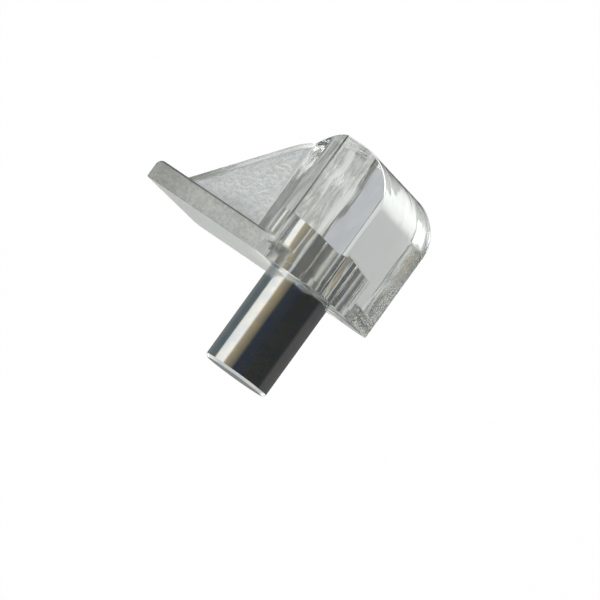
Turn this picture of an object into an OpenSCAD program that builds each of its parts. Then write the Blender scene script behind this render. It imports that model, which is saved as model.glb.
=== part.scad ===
// Shelf support: a clear moulded bracket with a steel pin moulded into it.
// X runs along the cabinet side, Y points out of it and Z is up. The origin is on the pin's
// axis, in the back face that lies against the cabinet side.

/* [Pin] */
// Diameter of the steel pin
pin_d = 5; // [3:0.1:6.4]
// Length of pin that stands out of the back face
pin_reach = 7.6; // [6:0.1:12]
// Length of pin inside the bracket, along its axis
pin_grip = 3.4; // [2.5:0.1:6]
// Chamfer on the free end of the pin
pin_chamfer = 0.2; // [0.1:0.05:0.6]
// Slant of the sheared end inside the plastic
shear_angle = 8; // [0:0.5:12]
// Which way that end faces, turned from straight up
shear_turn = 20; // [-180:5:180]
// Width of the groove that locks the pin in the plastic
groove_w = 0.6; // [0.5:0.05:1.2]
// Depth of that groove
groove_depth = 0.2; // [0.2:0.05:0.4]
// Distance of that groove behind the back face
groove_in = 0.1; // [0.05:0.05:1]

/* [Block] */
// Width of the bracket along the cabinet side
bracket_w = 11.2; // [9:0.1:16]
// Distance from the back face to the front of the bracket
bracket_d = 10; // [8:0.1:14]
// Plastic between the pin and the bearing face
cover_above = 1.5; // [0.8:0.1:4]
// How far the upright sides reach below the pin's axis
side_drop = 1.2; // [0.4:0.1:2.5]
// Plastic under the pin where the chamfered underside runs into the web
cover_below = 2.4; // [1.4:0.1:4]
// Radius of the edge between the bearing face and the front
front_edge_r = 3.7; // [0.5:0.1:4]
// Radius of the bearing face's two side edges
side_edge_r = 0.6; // [0.2:0.05:1.2]

/* [Web] */
// Thickness of the web
web_t = 1.6; // [1:0.1:2.5]
// Where the web's sloping edge would meet the front, below the pin
toe_drop = 1.8; // [1:0.1:3]
// Radius that blends the front into the sloping edge
toe_r = 7.2; // [2:0.1:8]
// Bare end of the plate below the web
web_setback = 0.4; // [0.2:0.1:2]

/* [Back plate] */
// Height of the bracket from the bearing face to the lower end of the plate
bracket_h = 16; // [14:0.1:24]
// Thickness of the plate
plate_t = 1.5; // [1:0.1:2.5]
// Radius of the plate's two lower corners
plate_corner_r = 1; // [0.2:0.1:3]

/* [Hidden] */
$fn = 120;
pin_r = pin_d / 2;
half_w = bracket_w / 2;
half_web = web_t / 2;
bearing_z = pin_r + cover_above;
plate_end_z = bearing_z - bracket_h;
web_end_z = plate_end_z + web_setback;
toe_z = -pin_r - toe_drop;
// Angle inside the bracket's side view where the front meets the sloping edge
toe_angle = 180 - atan2(bracket_d - plate_t, toe_z - web_end_z);

// Extrudes a section drawn in X and Z outwards, from the back face
module outwards(length) {
    rotate([90, 0, 0]) translate([0, 0, -length]) linear_extrude(length) children();
}

// Extrudes a profile drawn in Y and Z along the cabinet side, about the middle
module sideways(width) {
    rotate([90, 0, 90]) translate([0, 0, -width / 2]) linear_extrude(width) children();
}

// What rounding takes off a corner at the origin: one side runs from it along -X,
// and the other leaves it downwards, at the corner's inside angle from the first
module corner_waste(radius, angle = 90) {
    reach = radius / tan(angle / 2);
    difference() {
        polygon([
            [0, 0],
            [-reach, 0],
            [-reach, -radius],
            -reach * [cos(angle), sin(angle)]
        ]);
        translate([-reach, -radius]) circle(r = radius);
    }
}

// Side view in Y and Z: bearing face, rounded front, blend and sloping edge
module side_profile() {
    difference() {
        polygon([
            [0, bearing_z],
            [bracket_d, bearing_z],
            [bracket_d, toe_z],
            [plate_t, web_end_z],
            [0, web_end_z]
        ]);
        translate([bracket_d, bearing_z]) corner_waste(front_edge_r);
        translate([bracket_d, toe_z]) rotate(-90) corner_waste(toe_r, toe_angle);
    }
}

// Section of the block in X and Z: upright sides, then a chamfer down to the web
module block_section() {
    difference() {
        polygon([
            [-half_w, bearing_z],
            [half_w, bearing_z],
            [half_w, -side_drop],
            [half_web, -pin_r - cover_below],
            [-half_web, -pin_r - cover_below],
            [-half_w, -side_drop]
        ]);
        bearing_edges();
    }
}

module bearing_edges() {
    for (side = [0, 1])
        mirror([side, 0]) translate([half_w, bearing_z]) corner_waste(side_edge_r);
}

module block() {
    intersection() {
        outwards(bracket_d) block_section();
        sideways(bracket_w) side_profile();
    }
}

module web() {
    sideways(web_t) side_profile();
}

module back_plate() {
    outwards(plate_t) difference() {
        translate([-half_w, plate_end_z]) square([bracket_w, bracket_h]);
        bearing_edges();
        for (side = [0, 1])
            mirror([side, 0]) translate([half_w, plate_end_z]) mirror([0, 1]) corner_waste(plate_corner_r);
    }
}

// The pin, with a groove just inside the back face that the plastic fills
module pin_solid() {
    bar_end = pin_grip + pin_d * tan(shear_angle);
    difference() {
        rotate([-90, 0, 0]) rotate_extrude() polygon([
            [0, -pin_reach],
            [pin_r - pin_chamfer, -pin_reach],
            [pin_r, -pin_reach + pin_chamfer],
            [pin_r, groove_in],
            [pin_r - groove_depth, groove_in],
            [pin_r - groove_depth, groove_in + groove_w],
            [pin_r, groove_in + groove_w],
            [pin_r, bar_end],
            [0, bar_end]
        ]);
        sheared_off();
    }
}

// What the slanted cut takes off the bar the pin was made from
module sheared_off() {
    translate([0, pin_grip, 0]) rotate([0, shear_turn, 0]) rotate([shear_angle, 0, 0])
        translate([-pin_d, 0, -pin_d]) cube([2 * pin_d, pin_d, 2 * pin_d]);
}

module bracket() {
    color([0.86, 0.89, 0.88, 0.35]) difference() {
        union() {
            block();
            web();
            back_plate();
        }
        pin_solid();
    }
}

module steel_pin() {
    color([0.72, 0.72, 0.70]) pin_solid();
}

bracket();
steel_pin();
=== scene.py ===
import math

import bmesh
import bpy
from mathutils import Matrix, Vector


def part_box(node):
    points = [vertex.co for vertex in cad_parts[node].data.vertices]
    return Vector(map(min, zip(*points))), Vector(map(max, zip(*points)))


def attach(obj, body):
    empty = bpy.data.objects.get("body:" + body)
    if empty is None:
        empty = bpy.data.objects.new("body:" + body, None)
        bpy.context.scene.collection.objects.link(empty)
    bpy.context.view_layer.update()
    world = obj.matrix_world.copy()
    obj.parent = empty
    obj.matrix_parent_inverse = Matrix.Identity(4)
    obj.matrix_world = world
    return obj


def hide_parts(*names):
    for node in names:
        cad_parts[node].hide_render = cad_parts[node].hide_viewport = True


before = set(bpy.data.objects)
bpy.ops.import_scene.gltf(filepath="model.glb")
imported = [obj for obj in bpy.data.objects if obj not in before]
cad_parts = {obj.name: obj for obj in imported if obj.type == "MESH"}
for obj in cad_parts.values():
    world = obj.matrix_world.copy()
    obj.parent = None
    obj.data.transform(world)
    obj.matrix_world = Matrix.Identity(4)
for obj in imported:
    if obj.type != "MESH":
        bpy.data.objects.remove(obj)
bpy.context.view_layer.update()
scene = bpy.context.scene
mm = 0.001
samePlace = 1e-7             # metres within which two places count as one
onPlane = 1e-8               # and within which a point lies on a cutting plane
gridPerMetre = 1e8           # points are put in order on a grid this fine
sliverSize = 0.001 * mm      # shorter edges are welded away
sharpBend = math.radians(20)     # edges that bend more than this stay sharp
alongWall = Vector((1, 0, 0))
outOfWall = Vector((0, 1, 0))
upward = Vector((0, 0, 1))


def linearColour(hexCode):
    # sRGB hex to the linear values that shaders take
    parts = [int(hexCode[i:i + 2], 16) / 255 for i in (1, 3, 5)]
    return tuple(p / 12.92 if p <= 0.04045 else ((p + 0.055) / 1.055) ** 2.4 for p in parts) + (1.0,)


def addNode(tree, kind, settings=None, **inputs):
    # settings are the node's own properties; inputs are values, sockets or nodes, each under its
    # socket's name with _ for a space, or under _ and its number, and None leaves one as it is
    node = tree.nodes.new("ShaderNode" + kind)
    for name, value in (settings or {}).items():
        setattr(node, name, value)
    for name, value in inputs.items():
        socket = node.inputs[int(name[1:]) if name[1:].isdigit() else name.replace("_", " ")]
        if isinstance(value, bpy.types.Node):
            value = value.outputs[0]
        if isinstance(value, bpy.types.NodeSocket):
            tree.links.new(value, socket)
        elif value is not None:
            socket.default_value = value
    return node


def newMaterial(name):
    material = bpy.data.materials.new(name)
    material.use_nodes = True
    material.node_tree.nodes.clear()
    return material, material.node_tree


def inOrder(mesh):
    # puts the points and faces in a fixed order, so that every run cuts the shapes alike
    def placeOf(i):
        return tuple(round(c * gridPerMetre) for c in mesh.vertices[i].co)

    order = sorted(range(len(mesh.vertices)), key=placeOf)
    newIndex = {old: new for new, old in enumerate(order)}
    faces = []
    for polygon in mesh.polygons:
        corners = [newIndex[i] for i in polygon.vertices]
        first = corners.index(min(corners))
        faces.append(corners[first:] + corners[:first])
    ordered = bpy.data.meshes.new(mesh.name)
    ordered.from_pydata([mesh.vertices[i].co for i in order], [], sorted(faces))
    return ordered


def newPiece(name, bm):
    mesh = bpy.data.meshes.new(name)
    bm.to_mesh(mesh)
    bm.free()
    piece = bpy.data.objects.new(name, inOrder(mesh))
    scene.collection.objects.link(piece)
    return piece


def applyModifiers(piece):
    graph = bpy.context.evaluated_depsgraph_get()
    finished = bpy.data.meshes.new_from_object(piece.evaluated_get(graph))
    piece.modifiers.clear()
    piece.data = finished


def weldSlivers(piece):
    # cuts that lie in one plane leave hairline faces, which are welded and dissolved
    bm = bmesh.new()
    bm.from_mesh(piece.data)
    bmesh.ops.remove_doubles(bm, verts=bm.verts, dist=sliverSize)
    bmesh.ops.dissolve_degenerate(bm, edges=bm.edges, dist=sliverSize)
    bm.to_mesh(piece.data)
    bm.free()
    piece.data = inOrder(piece.data)


def combine(piece, operation, other):
    # joins, cuts or trims a piece with another, which is used up
    step = piece.modifiers.new(operation.title(), "BOOLEAN")
    step.operation = operation
    step.solver = "EXACT"
    step.object = other
    applyModifiers(piece)
    piece.data = inOrder(piece.data)
    bpy.data.objects.remove(other)
    weldSlivers(piece)


pinSizes = {
    "chamfer": 0.2 * mm,             # on the free end
    "grip": 3.4 * mm,                # inside the plastic, on the axis
    "shear": math.radians(8),        # slant of the sheared end
    "shearTurn": math.radians(20),   # which way that end faces, from straight up
    "grooveIn": 0.1 * mm,            # the groove that keys the pin, past the back face
    "grooveWidth": 0.6 * mm,
    "grooveDepth": 0.2 * mm,
    "steps": 160,
}
pinLow, pinHigh = (Vector(corner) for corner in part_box("steel_pin"))
pinRadius = (pinHigh.x - pinLow.x) / 2


def turnedPin(name, grow=0.0):
    # a lathe profile spun about the axis, then the inner end sheared off on the slant
    radius = pinRadius + grow
    freeEnd = pinLow.y - grow
    barEnd = pinSizes["grip"] + 2 * radius * math.tan(pinSizes["shear"])
    grooveRadius = radius - pinSizes["grooveDepth"]
    grooveStart = pinSizes["grooveIn"] + grow
    grooveEnd = pinSizes["grooveIn"] + pinSizes["grooveWidth"] - grow
    outline = [
        (0, freeEnd),
        (radius - pinSizes["chamfer"], freeEnd),
        (radius, freeEnd + pinSizes["chamfer"]),
        (radius, grooveStart),
        (grooveRadius, grooveStart),
        (grooveRadius, grooveEnd),
        (radius, grooveEnd),
        (radius, barEnd),
        (0, barEnd),
    ]
    bm = bmesh.new()
    corners = [bm.verts.new((across, along, 0)) for across, along in outline]
    edges = [bm.edges.new(pair) for pair in zip(corners, corners[1:])]
    bmesh.ops.spin(bm, geom=corners + edges, cent=(0, 0, 0), axis=outOfWall, angle=2 * math.pi,
                   steps=pinSizes["steps"], use_merge=True)
    bmesh.ops.remove_doubles(bm, verts=bm.verts, dist=samePlace)
    turned = Matrix.Rotation(pinSizes["shearTurn"], 3, outOfWall)
    endFacing = turned @ Matrix.Rotation(pinSizes["shear"], 3, alongWall) @ outOfWall
    cut = bmesh.ops.bisect_plane(bm, geom=bm.verts[:] + bm.edges[:] + bm.faces[:], dist=onPlane,
                                 plane_co=outOfWall * pinSizes["grip"] + endFacing * grow,
                                 plane_no=endFacing, clear_outer=True)
    rim = [item for item in cut["geom_cut"] if isinstance(item, bmesh.types.BMEdge)]
    bmesh.ops.holes_fill(bm, edges=rim)
    bmesh.ops.recalc_face_normals(bm, faces=bm.faces)
    return newPiece(name, bm)


bracketSizes = {
    "sideDrop": 1.2 * mm,        # upright sides, below the pin's axis
    "rootDrop": 4.9 * mm,        # where the chamfered underside meets the web
    "frontRadius": 3.7 * mm,
    "sideRadius": 0.6 * mm,      # the bearing face's side edges
    "webThickness": 1.6 * mm,
    "toeDrop": 4.3 * mm,         # where front and sloping edge would meet
    "toeRadius": 7.2 * mm,
    "webSetback": 0.4 * mm,      # bare end of the plate below the web
    "plateThickness": 1.5 * mm,
    "plateCorner": 1.0 * mm,
    "plateEnd": 0.9 * mm,        # rounding of the plate's lower end, on the side away from the wall
    "plateHeel": 0.4 * mm,       # and on the wall's side
    "softEdge": 0.10 * mm,       # the small radius that moulding and polishing leave
    "bond": 0.02 * mm,           # how far the plastic reaches into the steel, so that no air shows there
    "spare": 1 * mm,             # how far a cutting shape stands past what it cuts
    "arcSteps": 40,
    "softSteps": 4,
    "edgeSteps": 8,
    "cornerSteps": 12,
}
bracketLow, bracketHigh = (Vector(corner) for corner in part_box("bracket"))
halfWidth = bracketHigh.x

# the sloping edge runs from the toe, where it would meet the front, to the web's end on the plate
toe = Vector((0, bracketHigh.y, -bracketSizes["toeDrop"]))
webEnd = Vector((0, bracketSizes["plateThickness"], bracketLow.z + bracketSizes["webSetback"]))
slopeFacing = (toe - webEnd).cross(alongWall).normalized()
slopeReach = slopeFacing.dot(toe)


def near(value, target):
    return abs(value - target) < samePlace


def roundEdges(bm, radius, steps, chosen):
    # rounds the edges whose two ends are both at a chosen place
    edges = [edge for edge in bm.edges if all(chosen(v.co) for v in edge.verts)]
    bmesh.ops.bevel(bm, geom=edges, offset=bracketSizes[radius], offset_type="OFFSET",
                    segments=bracketSizes[steps], profile=0.5, affect="EDGES", material=-1)


def pullOut(bm, corners, along):
    # a flat outline made a face and pulled into a prism
    pulled = bmesh.ops.extrude_face_region(bm, geom=[bm.faces.new(corners)])["geom"]
    farCorners = [item for item in pulled if isinstance(item, bmesh.types.BMVert)]
    bmesh.ops.translate(bm, vec=along, verts=farCorners)
    bmesh.ops.recalc_face_normals(bm, faces=bm.faces)


def arcPoints(bm, start, centre, angle):
    # spins one point in the side view and returns the points in order
    first = bm.verts.new(start)
    bmesh.ops.spin(bm, geom=[first], cent=centre, axis=alongWall, angle=angle, steps=bracketSizes["arcSteps"])
    return list(bm.verts)[-bracketSizes["arcSteps"] - 1:]


def sideView(name, behind):
    # the bracket's side view as a prism as wide as the bracket, with its rims softened
    front, top = bracketHigh.y, bracketHigh.z
    bend = (webEnd - toe).angle(-upward)
    edgeRadius, toeRadius = bracketSizes["frontRadius"], bracketSizes["toeRadius"]
    toeStart = toe + upward * toeRadius * math.tan(bend / 2)
    bm = bmesh.new()
    corners = [bm.verts.new((0, -behind, webEnd.z)), bm.verts.new((0, -behind, top))]
    arcStart = Vector((0, front - edgeRadius, top))
    corners += arcPoints(bm, arcStart, arcStart - upward * edgeRadius, -math.pi / 2)
    corners += arcPoints(bm, toeStart, toeStart - outOfWall * toeRadius, -bend)
    corners.append(bm.verts.new(webEnd))
    for corner in corners:
        corner.co.x = -halfWidth
    pullOut(bm, corners, alongWall * 2 * halfWidth)
    for side in (-halfWidth, halfWidth):
        roundEdges(bm, "softEdge", "softSteps", lambda co: near(co.x, side))
    return newPiece(name, bm)


def frontView(start, depth, outline):
    # an outline drawn along the wall and upwards, pulled out of the wall
    bm = bmesh.new()
    pullOut(bm, [bm.verts.new((across, start, height)) for across, height in outline], outOfWall * depth)
    return bm


def clearBracket(name):
    top, bottom = bracketHigh.z, bracketLow.z
    foot, root = -bracketSizes["sideDrop"], -bracketSizes["rootDrop"]
    halfWeb, plateOut = bracketSizes["webThickness"] / 2, bracketSizes["plateThickness"]
    spare = bracketSizes["spare"]

    # block, chamfered underside and web in one section, trimmed to the side view
    bm = frontView(0, bracketHigh.y + spare, [
        (-halfWidth, top), (halfWidth, top), (halfWidth, foot), (halfWeb, root),
        (halfWeb, bottom), (-halfWeb, bottom), (-halfWeb, root), (-halfWidth, foot)])
    for side in (-1, 1):
        roundEdges(bm, "sideRadius", "edgeSteps", lambda co: near(co.z, top) and near(co.x, side * halfWidth))
        roundEdges(bm, "softEdge", "softSteps", lambda co: near(co.z, foot) and near(co.x, side * halfWidth))
        roundEdges(bm, "softEdge", "softSteps", lambda co: near(co.z, root) and near(co.x, side * halfWeb))
    moulding = newPiece(name, bm)
    combine(moulding, "INTERSECT", sideView("sideView", spare))

    # back plate, which starts inside the block, with its lower end and corners rounded
    bm = frontView(0, plateOut, [
        (-halfWidth, foot / 2), (halfWidth, foot / 2), (halfWidth, bottom), (-halfWidth, bottom)])
    roundEdges(bm, "plateEnd", "cornerSteps", lambda co: near(co.z, bottom) and near(co.y, plateOut))
    roundEdges(bm, "plateHeel", "edgeSteps", lambda co: near(co.z, bottom) and near(co.y, 0))
    plate = newPiece("plate", bm)
    bm = frontView(-spare, plateOut + 2 * spare, [
        (-halfWidth, 0), (halfWidth, 0), (halfWidth, bottom), (-halfWidth, bottom)])
    for side in (-halfWidth, halfWidth):
        roundEdges(bm, "plateCorner", "cornerSteps", lambda co: near(co.z, bottom) and near(co.x, side))
    combine(plate, "INTERSECT", newPiece("corners", bm))

    combine(moulding, "UNION", plate)
    combine(moulding, "DIFFERENCE", turnedPin("pinHole", -bracketSizes["bond"]))
    return moulding


body = clearBracket("clearBracket")
print("bracket moulded:", len(body.data.vertices), "points")
pin = turnedPin("platedPin")
print("pin turned:", len(pin.data.vertices), "points")

plastic = {
    "clear": "#f8f9f8",
    "paintedShade": "#d6d8d5",      # painted shade in the pits of the grain
    "paintedPlateShade": "#eaebe8",       # painted shade on the plate and the back face, standing in for the light lost as it crosses the plate lengthwise
    "back": "#b8bab7",       # painted shade, darker still on the plate's back face
    "edge": "#4a4c4a",       # painted shade: dark lines along edges of the web, plate and sides, standing in for the light those edges bend away
    "ior": 1.586,
    "polish": 0.03,          # roughness of the polished mould faces
    "satin": 0.08,           # roughness of the chamfered underside
    "frost": 0.30,           # roughness of the spark-eroded web
    "plateFrost": 0.38,      # of the plate
    "backFrost": 0.12,       # and of the back face behind the block
    "haze": 0.06,            # share of light that the moulding scatters
    "plateHaze": 0.28,
    "waveAcross": 1.7,       # mm, the swells that flow and shrinkage leave
    "waveAlong": 3.4,
    "waveHeight": 0.064,
    "streakAcross": 0.35,    # mm between flow streaks
    "streakAlong": 5.0,
    "streakHeight": 0.009,
    "grain": 0.24,           # mm, the real 0.05 mm grain drawn coarser so that it shows
    "grainHeight": 0.080,
    "paintedPitShade": (0.60, 0.36),    # levels of the grain's pattern, from no painted shade to full painted shade
    "webTop": 4.5,           # mm below the axis, where the web starts at the wall
    "webTopFall": 0.1,       # and how much lower it starts for each mm out of the wall
    "webTopSpread": 0.15,    # mm either way, over which the grain comes up
    "rimWidth": (0.24, 0.08),    # mm in from the sloping edge, where its painted dark line starts and is full
    "rimShade": 0.5,         # strength of that line
    "grainIn": (0.35, 0.75),     # mm in from the same edge, where the grain comes up
    "grainLeft": 0.25,       # from this share of it
}
# where each look starts and where it is full, in mm from the middle (X), out of the wall (Y) and up (Z)
zones = {
    "underside": ("Z", -1.2, -1.5),
    "plateDepth": ("Y", 1.75, 1.55),
    "plateHeight": ("Z", -1.3, -2.2),
    "back": ("Y", 0.03, 0.01),
    "plateRimIn": ("Y", 1.34, 1.42),
    "plateRimOut": ("Y", 1.495, 1.475),
    "footBelow": ("Z", -1.34, -1.24),
    "footAbove": ("Z", -1.04, -1.14),
    "footSide": ("X", 5.3, 5.4),
    "footDepth": ("Y", 1.8, 3.2),
}

# Polycarbonate, gate at the front: bright and clear on the block, with faint flow lines along the pin,
# and a fine spark-eroded grain that turns the web and the plate's face milky
clear, tree = newMaterial("clearMouldedPolycarbonate")
inPlace = addNode(tree, "TexCoord").outputs["Object"]
axes = addNode(tree, "SeparateXYZ", _0=inPlace).outputs
places = {"X": addNode(tree, "Math", {"operation": "ABSOLUTE"}, _0=axes["X"]), "Y": axes["Y"], "Z": axes["Z"]}
masks = {}
for name, (axis, start, full) in zones.items():
    masks[name] = addNode(tree, "MapRange", _0=places[axis], _1=start * mm, _2=full * mm)

# the web starts below a line that falls outwards, and its sloping edge is clear with a painted dark line
# along it
webLine = addNode(tree, "Math", {"operation": "MULTIPLY_ADD"}, _0=axes["Y"], _1=plastic["webTopFall"],
                  _2=plastic["webTop"] * mm)
aboveWeb = addNode(tree, "Math", {"operation": "ADD"}, _0=axes["Z"], _1=webLine)
spread = plastic["webTopSpread"] * mm
masks["web"] = addNode(tree, "MapRange", _0=aboveWeb, _1=spread, _2=-spread)
slope = addNode(tree, "VectorMath", {"operation": "DOT_PRODUCT"}, _0=inPlace, _1=slopeFacing)
depthInMm = addNode(tree, "MapRange", _0=slope.outputs["Value"], _1=slopeReach, _2=slopeReach - mm)
start, full = plastic["rimWidth"]
masks["slopeRim"] = addNode(tree, "MapRange", _0=depthInMm, _1=start, _2=full, _4=plastic["rimShade"])
start, full = plastic["grainIn"]
masks["pastRim"] = addNode(tree, "MapRange", _0=depthInMm, _1=start, _2=full, _3=plastic["grainLeft"])
for name, operation, first, second in (
        ("plate", "MULTIPLY", "plateDepth", "plateHeight"),
        ("plateRim", "MULTIPLY", "plateRimIn", "plateRimOut"),
        ("plateFront", "MULTIPLY", "plate", "plateRim"),
        ("footHeight", "MULTIPLY", "footBelow", "footAbove"),
        ("footEdge", "MULTIPLY", "footSide", "footDepth"),
        ("foot", "MULTIPLY", "footHeight", "footEdge"),
        ("webRim", "MULTIPLY", "web", "slopeRim"),
        ("grainyWeb", "MULTIPLY", "web", "pastRim"),
        ("frosted", "MAXIMUM", "grainyWeb", "plate"),
        ("plateOrBack", "MAXIMUM", "plate", "back"),
        ("plateBack", "MULTIPLY", "plate", "back"),
        ("plateOrFoot", "MAXIMUM", "plateFront", "foot"),
        ("paintedEdgeShade", "MAXIMUM", "webRim", "plateOrFoot")):
    masks[name] = addNode(tree, "Math", {"operation": operation}, _0=masks[first], _1=masks[second])

roughness = plastic["polish"]
for mask, finish in (
        ("underside", "satin"), ("grainyWeb", "frost"), ("back", "backFrost"), ("plate", "plateFrost")):
    roughness = addNode(tree, "MapRange", _0=masks[mask], _3=roughness, _4=plastic[finish])

# swells, flow streaks along the pin, and the grain where the mould is frosted
relief = {}
for name, detail, distortion in (("wave", 0.0, 0.8), ("streak", 2.0, 0.4)):
    across, along = 1 / (plastic[name + "Across"] * mm), 1 / (plastic[name + "Along"] * mm)
    stretch = addNode(tree, "Mapping", _0=inPlace, Scale=(across, along, across))
    relief[name] = addNode(tree, "TexNoise", _0=stretch, Scale=1.0, Detail=detail, Distortion=distortion)
grains = addNode(tree, "TexNoise", _0=inPlace, Scale=1 / (plastic["grain"] * mm), Detail=3.0, Roughness=0.6)
relief["grain"] = addNode(tree, "Math", {"operation": "MULTIPLY"}, _0=masks["frosted"], _1=grains)
surface = None
for name in ("wave", "streak", "grain"):
    surface = addNode(tree, "Bump", Strength=1.0, Distance=plastic[name + "Height"] * mm,
                      Height=relief[name], Normal=surface)

# painted shade where the grain's pattern is low, as if its pits lay in shade
paintedPitShade = addNode(tree, "MapRange", _0=grains, _1=plastic["paintedPitShade"][0], _2=plastic["paintedPitShade"][1])
masks["paintedPitShade"] = addNode(tree, "Math", {"operation": "MULTIPLY"}, _0=masks["frosted"], _1=paintedPitShade)
# painted shade mixed and multiplied into the clear colour: in the grain's pits, on the plate and back face,
# darker on the plate's back, and as dark lines along edges
tint = linearColour(plastic["clear"])
for mask, paintedShade, kind in (
        ("paintedPitShade", "paintedShade", "MIX"), ("plateOrBack", "paintedPlateShade", "MULTIPLY"),
        ("plateBack", "back", "MULTIPLY"), ("paintedEdgeShade", "edge", "MIX")):
    tint = addNode(tree, "MixRGB", {"blend_type": kind}, _0=masks[mask], _1=tint,
                   _2=linearColour(plastic[paintedShade]))
clearness = addNode(tree, "MapRange", _0=masks["plate"], _3=1 - plastic["haze"], _4=1 - plastic["plateHaze"])
skin = addNode(tree, "BsdfPrincipled", Base_Color=tint, IOR=plastic["ior"], Transmission_Weight=clearness,
               Roughness=roughness, Normal=surface)
addNode(tree, "OutputMaterial", Surface=skin)

steel = {
    "colour": "#e7e5df",
    "passivated": "#d7dbe2",         # where the blue passivation is thicker
    "patch": 1.1,                    # mm across those places
    "patchLevels": (0.42, 0.62),     # levels of their pattern, from none to full
    "roughness": 0.09,
    "roughnessSpread": (0.8, 1.3),   # times that, over the levels of the lines' pattern
    "lineLevels": (0.3, 0.7),
    "lineAcross": 0.07,              # mm between the lines that drawing the bar left
    "lineAlong": 5.0,
    "lineHeight": 0.0006,
    "waveAcross": 1.3,               # mm, the slight unevenness under the plating
    "waveAlong": 5.0,
    "waveHeight": 0.006,
}

# Bright zinc over drawn bar: a hard mirror with soft edges to its reflections and faint lengthwise lines
plated, tree = newMaterial("brightPlatedSteel")
inPlace = addNode(tree, "TexCoord").outputs["Object"]
relief = {}
surface = None
for name, detail in (("wave", 1.0), ("line", 2.0)):
    across, along = 1 / (steel[name + "Across"] * mm), 1 / (steel[name + "Along"] * mm)
    stretch = addNode(tree, "Mapping", _0=inPlace, Scale=(across, along, across))
    relief[name] = addNode(tree, "TexNoise", _0=stretch, Scale=1.0, Detail=detail)
    surface = addNode(tree, "Bump", Strength=1.0, Distance=steel[name + "Height"] * mm,
                      Height=relief[name], Normal=surface)
smoother, rougher = (steel["roughness"] * times for times in steel["roughnessSpread"])
roughness = addNode(tree, "MapRange", _0=relief["line"], _1=steel["lineLevels"][0], _2=steel["lineLevels"][1],
                    _3=smoother, _4=rougher)
patches = addNode(tree, "TexNoise", _0=inPlace, Scale=1 / (steel["patch"] * mm), Detail=3.0, Roughness=0.6)
passivated = addNode(tree, "MapRange", _0=patches, _1=steel["patchLevels"][0], _2=steel["patchLevels"][1])
plating = addNode(tree, "MixRGB", _0=passivated, _1=linearColour(steel["colour"]),
                  _2=linearColour(steel["passivated"]))
metal = addNode(tree, "BsdfPrincipled", Base_Color=plating, Metallic=1.0, Roughness=roughness, Normal=surface)
addNode(tree, "OutputMaterial", Surface=metal)

for piece, material, node, slotName in (
        (body, clear, "bracket", "clear_plastic"), (pin, plated, "steel_pin", "plated_steel")):
    piece.data.materials.clear()
    piece.data.materials.append(material)
    for polygon in piece.data.polygons:
        polygon.use_smooth = True
    piece.data.set_sharp_from_angle(angle=sharpBend)
    evened = piece.modifiers.new("FlatFaces", "WEIGHTED_NORMAL")
    evened.keep_sharp = True
    applyModifiers(piece)
    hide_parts(node)
    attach(piece, "root")
print("finishes on")

studio = {
    "elevation": 24.0,       # degrees that the camera looks down
    "turn": 3.8,             # degrees that it stands round towards the wall side
    "roll": 35.9,
    "distance": 0.5,         # m
    "pixelsPerMm": 14.6,
    "pictureWidth": 600,     # pixels
    "sensorWidth": 36,
    "clip": (0.01, 5),
    "aim": (8.17, -10.5),    # pixels from the pin's root to the frame's middle, across and along the pin
    "roomLevel": 0.8,        # the room's light on matt surfaces
    "floorDrop": 0.035,      # m, far enough below for the shadow to lie outside the frame
    "floorReach": 0.6,
    "floor": "#fafaf8",
    "floorGlow": 0.97,       # share of plain white in what the camera sees of it
    "lampSize": 0.5,         # m
    "lampPower": 0.5,        # W
    "lampPlace": (-0.1, 0.05, 0.6),
}
elevation, turn, roll = (math.radians(studio[key]) for key in ("elevation", "turn", "roll"))
towardCamera = Vector((
    -math.cos(elevation) * math.cos(turn), -math.sin(turn), math.sin(elevation) * math.cos(turn)))
pinUpward = (outOfWall - outOfWall.dot(towardCamera) * towardCamera).normalized()
pinAcross = pinUpward.cross(towardCamera).normalized()
frameRight = pinAcross * math.cos(roll) + pinUpward * math.sin(roll)
frameUp = pinUpward * math.cos(roll) - pinAcross * math.sin(roll)
lens = bpy.data.cameras.new("studioCamera")
lens.sensor_width = studio["sensorWidth"]
lens.lens = studio["pixelsPerMm"] * studio["distance"] / mm / studio["pictureWidth"] * studio["sensorWidth"]
lens.clip_start, lens.clip_end = studio["clip"]
camera = bpy.data.objects.new("studioCamera", lens)
scene.collection.objects.link(camera)
scene.camera = camera
aim = (pinAcross * studio["aim"][0] + pinUpward * studio["aim"][1]) / studio["pixelsPerMm"] * mm
camera.matrix_world = Matrix.Translation(aim + towardCamera * studio["distance"]) @ Matrix(
    (frameRight, frameUp, towardCamera)).transposed().to_4x4()
print("camera set")

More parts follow.
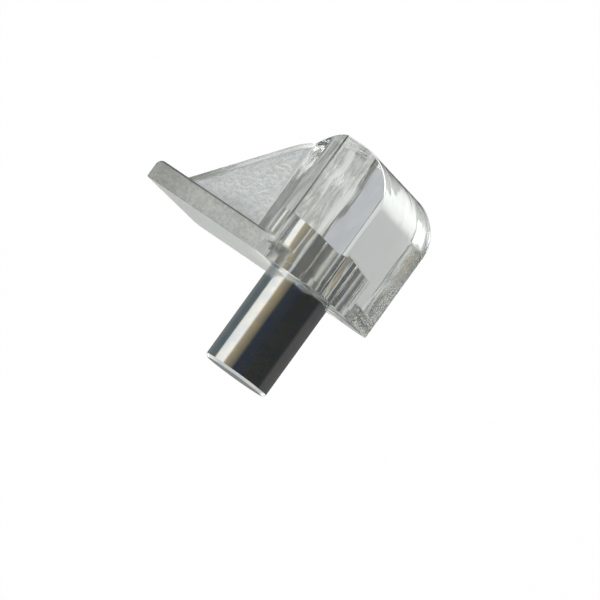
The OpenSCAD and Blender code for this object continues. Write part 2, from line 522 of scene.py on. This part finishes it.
# what the part sees round the pin's axis, in degrees from the camera's side: cards with the dark room
# between them, one set for the metal and one for the clear plastic, and the pale room at either end
room = {
    "metalCards": [
        (-180, 0.12, 0.13, 0.13), (-150, 0.20, 0.23, 0.23), (-118, 0.13, 0.16, 0.17),
        (-98, 0.13, 0.16, 0.17), (-93, 0.95, 0.97, 0.96), (-60, 1.15, 1.14, 1.08),
        (-53, 0.42, 0.36, 0.24), (-28, 0.19, 0.165, 0.11), (-20, 0.035, 0.045, 0.06),
        (16, 0.03, 0.035, 0.045), (26, 0.03, 0.033, 0.03), (84, 0.03, 0.033, 0.035),
        (98, 0.09, 0.09, 0.09), (170, 0.12, 0.12, 0.12)],
    "plasticCards": [
        (-180, 0.48, 0.50, 0.54), (-168, 0.56, 0.58, 0.57), (-146, 0.60, 0.62, 0.61),
        (-122, 1.30, 1.34, 1.30), (-78, 1.35, 1.37, 1.32), (-70, 0.45, 0.40, 0.27),
        (-46, 0.33, 0.28, 0.17), (-36, 0.10, 0.10, 0.09), (-26, 0.76, 0.79, 0.77),
        (-17, 0.76, 0.79, 0.77), (-9, 0.04, 0.045, 0.05), (46, 0.09, 0.095, 0.09),
        (58, 0.62, 0.65, 0.62), (68, 0.62, 0.65, 0.62), (88, 0.26, 0.27, 0.26),
        (104, 0.10, 0.10, 0.10), (130, 0.20, 0.20, 0.19), (138, 0.76, 0.79, 0.77),
        (172, 0.75, 0.78, 0.77)],
    "wallSide": [
        (-180, 2.20, 2.26, 2.20), (-152, 0.90, 0.93, 0.90), (-120, 1.05, 1.08, 1.05), (-60, 2.50, 2.56, 2.48),
        (-30, 2.80, 2.87, 2.80), (-4, 1.45, 1.49, 1.46), (30, 1.10, 1.14, 1.11), (60, 1.00, 1.04, 1.02),
        (90, 0.72, 0.74, 0.73), (120, 0.60, 0.62, 0.60), (148, 0.80, 0.82, 0.82)],
    "frontSide": [
        (-180, 0.42, 0.43, 0.42), (-145, 0.35, 0.36, 0.35), (-60, 1.15, 1.17, 1.12), (0, 0.75, 0.77, 0.74),
        (40, 1.10, 1.13, 1.08), (90, 0.85, 0.87, 0.83), (150, 1.55, 1.60, 1.55)],
}
wallEnd = (0.75, 0.77, 0.75, 1)      # in the middle of the wall side
# where each of these starts and is full, as the share of a direction that points out of the wall
leans = {"wallSide": (-0.04, -0.24), "wallEnd": (-0.45, -0.85), "frontSide": (0.18, 0.42)}

world = bpy.data.worlds.new("studioLight")
scene.world = world
world.use_nodes = True
tree = world.node_tree
tree.nodes.clear()
direction = addNode(tree, "TexCoord").outputs["Generated"]
sideOn = Vector((pinAcross.x, 0, pinAcross.z)).normalized()
facing = Vector((towardCamera.x, 0, towardCamera.z)).normalized()
rising = addNode(tree, "VectorMath", {"operation": "DOT_PRODUCT"}, _0=direction, _1=sideOn)
nearing = addNode(tree, "VectorMath", {"operation": "DOT_PRODUCT"}, _0=direction, _1=facing)
angle = addNode(tree, "Math", {"operation": "ARCTAN2"}, _0=rising.outputs["Value"],
                _1=nearing.outputs["Value"])
roundAxis = addNode(tree, "MapRange", _0=angle, _1=-math.pi, _2=math.pi)

rings = {"wallEnd": wallEnd}
for name, stops in room.items():
    rings[name] = addNode(tree, "ValToRGB", _0=roundAxis)
    ramp = rings[name].color_ramp
    for stop in stops[1:]:
        ramp.elements.new(0.99)      # each is moved to its own place below
    for element, (degrees, *colour) in zip(ramp.elements, stops + stops[:1]):
        element.position = (degrees + 180) / 360
        element.color = (*colour, 1)
    ramp.elements[-1].position = 1.0

rays = addNode(tree, "LightPath").outputs
leaning = addNode(tree, "SeparateXYZ", _0=direction).outputs["Y"]
roomColour = addNode(tree, "MixRGB", _0=rays["Is Transmission Ray"], _1=rings["metalCards"],
                     _2=rings["plasticCards"])
for name, (start, full) in leans.items():
    lean = addNode(tree, "MapRange", {"interpolation_type": "SMOOTHSTEP"}, _0=leaning, _1=start, _2=full)
    roomColour = addNode(tree, "MixRGB", _0=lean, _1=roomColour, _2=rings[name])
seenByPart = addNode(tree, "Math", {"operation": "MAXIMUM"}, _0=rays["Is Glossy Ray"],
                     _1=rays["Is Transmission Ray"])
softLight = addNode(tree, "Background", Color=(1, 1, 1, 1), Strength=studio["roomLevel"])
cards = addNode(tree, "Background", Color=roomColour, Strength=1.0)
white = addNode(tree, "Background", Color=(1, 1, 1, 1), Strength=1.0)
lit = addNode(tree, "MixShader", _0=seenByPart, _1=softLight, _2=cards)
seen = addNode(tree, "MixShader", _0=rays["Is Camera Ray"], _1=lit, _2=white)
addNode(tree, "OutputWorld", Surface=seen)

# matt floor paint, which the camera sees as near white
bm = bmesh.new()
bmesh.ops.create_grid(bm, x_segments=1, y_segments=1, size=studio["floorReach"])
bmesh.ops.translate(bm, vec=(0, 0, bracketLow.z - studio["floorDrop"]), verts=bm.verts)
floor = newPiece("floor", bm)
paint, tree = newMaterial("paleFloorPaint")
matt = addNode(tree, "BsdfDiffuse", Color=linearColour(studio["floor"]))
glow = addNode(tree, "Emission", Color=(1, 1, 1, 1), Strength=1.0)
cameraRay = addNode(tree, "LightPath").outputs["Is Camera Ray"]
watched = addNode(tree, "Math", {"operation": "MULTIPLY"}, _0=cameraRay, _1=studio["floorGlow"])
addNode(tree, "OutputMaterial", Surface=addNode(tree, "MixShader", _0=watched, _1=matt, _2=glow))
floor.data.materials.append(paint)
floor.visible_glossy = False
floor.visible_transmission = False

lamp = bpy.data.lights.new("overheadLamp", "AREA")
lamp.shape = "DISK"
lamp.size = studio["lampSize"]
lamp.energy = studio["lampPower"]
overhead = bpy.data.objects.new("overheadLamp", lamp)
overhead.location = studio["lampPlace"]
overhead.visible_glossy = False
overhead.visible_transmission = False
scene.collection.objects.link(overhead)
scene.view_settings.view_transform = "Standard"
print("studio lit")
